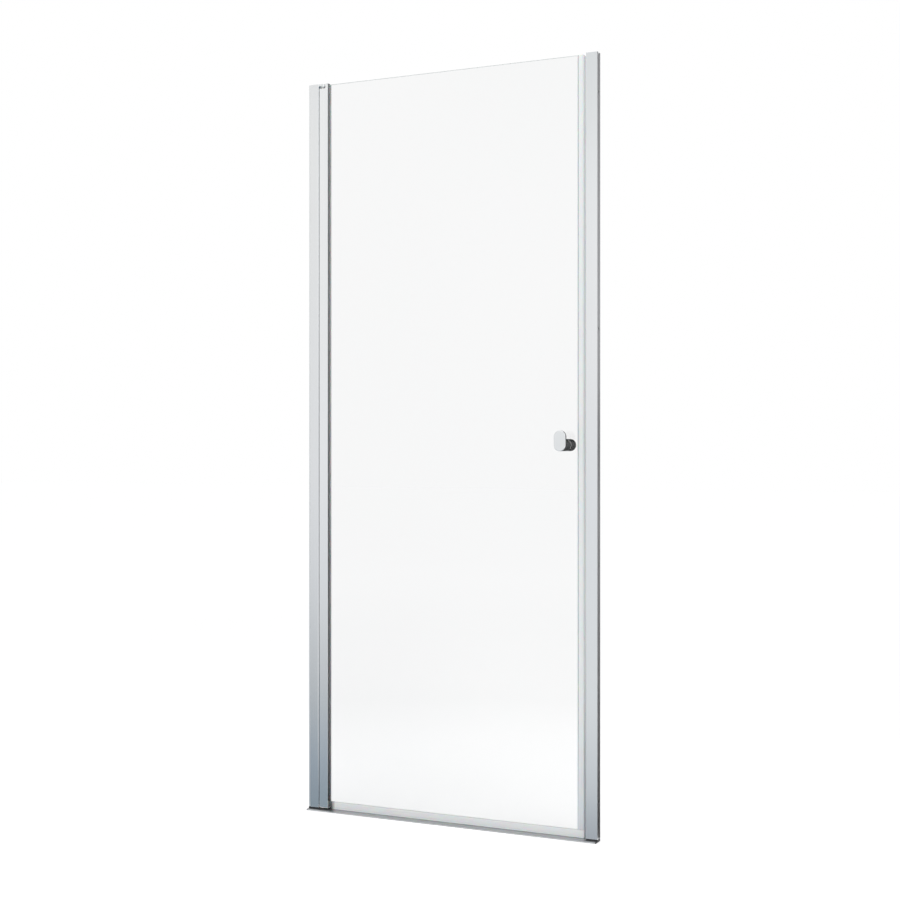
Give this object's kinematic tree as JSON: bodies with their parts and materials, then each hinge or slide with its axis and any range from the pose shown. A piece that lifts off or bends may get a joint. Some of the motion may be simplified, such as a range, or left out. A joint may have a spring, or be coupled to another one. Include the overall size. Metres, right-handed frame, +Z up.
{
  "type": "pivot shower door",
  "caption": "Frameless-look pivot shower door for a niche: glass leaf on a metal pivot stile, wall posts on channels, magnet seals, round-backed knob and low sill.",
  "frame": {"origin": "at tray level, halfway between the walls, in the middle plane of the glass, which is the bottom centre of the bounding box", "axes": "+X along the door from the hinge side to the strike side, +Y into the shower, +Z up"},
  "size_m": [0.8, 0.08, 1.9],
  "materials": {
    "profile_aluminium": "polished, bright anodised",
    "bracket_metal": "polished plating on cast zinc",
    "knob_chrome": "polished chrome plating",
    "clear_glass": "clear toughened glass, ground edges",
    "clear_seal": "translucent flexible extrusion",
    "magnet": "flexible magnet strip, matt",
    "gasket": "translucent flexible glazing strip",
    "black_plastic": "moulded, fine texture",
    "grey_seal": "grey flexible extrusion",
    "white_nylon": "moulded bearing plastic",
    "steel": "bright steel"
  },
  "bodies": {
    "frame": {"wall_channel_hinge": "profile_aluminium", "wall_channel_strike": "profile_aluminium", "hinge_post": "profile_aluminium", "strike_post": "profile_aluminium", "threshold": "profile_aluminium", "top_pivot_bracket": "bracket_metal", "strike_post_top_cap": "bracket_metal", "bottom_pivot_bracket": "black_plastic", "strike_post_foot": "black_plastic", "threshold_end_cap_left": "black_plastic", "threshold_end_cap_right": "black_plastic", "top_pivot_pin": "steel", "bottom_pivot_pin": "steel", "thrust_washer": "white_nylon", "strike_magnet_seal": "grey_seal", "strike_magnet_strip": "magnet", "hinge_post_screws": "steel", "strike_post_screws": "steel", "end_screws": "steel"},
    "leaf": {"hinge_stile": "profile_aluminium", "stile_top_plug": "white_nylon", "stile_bottom_plug": "white_nylon", "top_pivot_bush": "white_nylon", "bottom_pivot_bush": "white_nylon", "stile_plug_screws": "steel", "glass_panel": "clear_glass", "glazing_gasket_front": "gasket", "glazing_gasket_rear": "gasket", "door_magnet_seal": "clear_seal", "door_magnet_strip": "magnet", "bottom_drip_seal": "clear_seal", "outer_knob": "knob_chrome", "inner_knob": "knob_chrome", "knob_washer_outer": "black_plastic", "knob_washer_inner": "black_plastic", "knob_sleeve": "white_nylon", "knob_stud": "steel", "knob_set_screw": "steel"}
  },
  "joints": [
    {"name": "leaf_pivot", "type": "hinge", "parent": "frame", "child": "leaf", "pos_m": [-0.3595, -0.0098, 0.95], "axis": [0, 0, -1], "range_deg": [0, 100]}
  ]
}
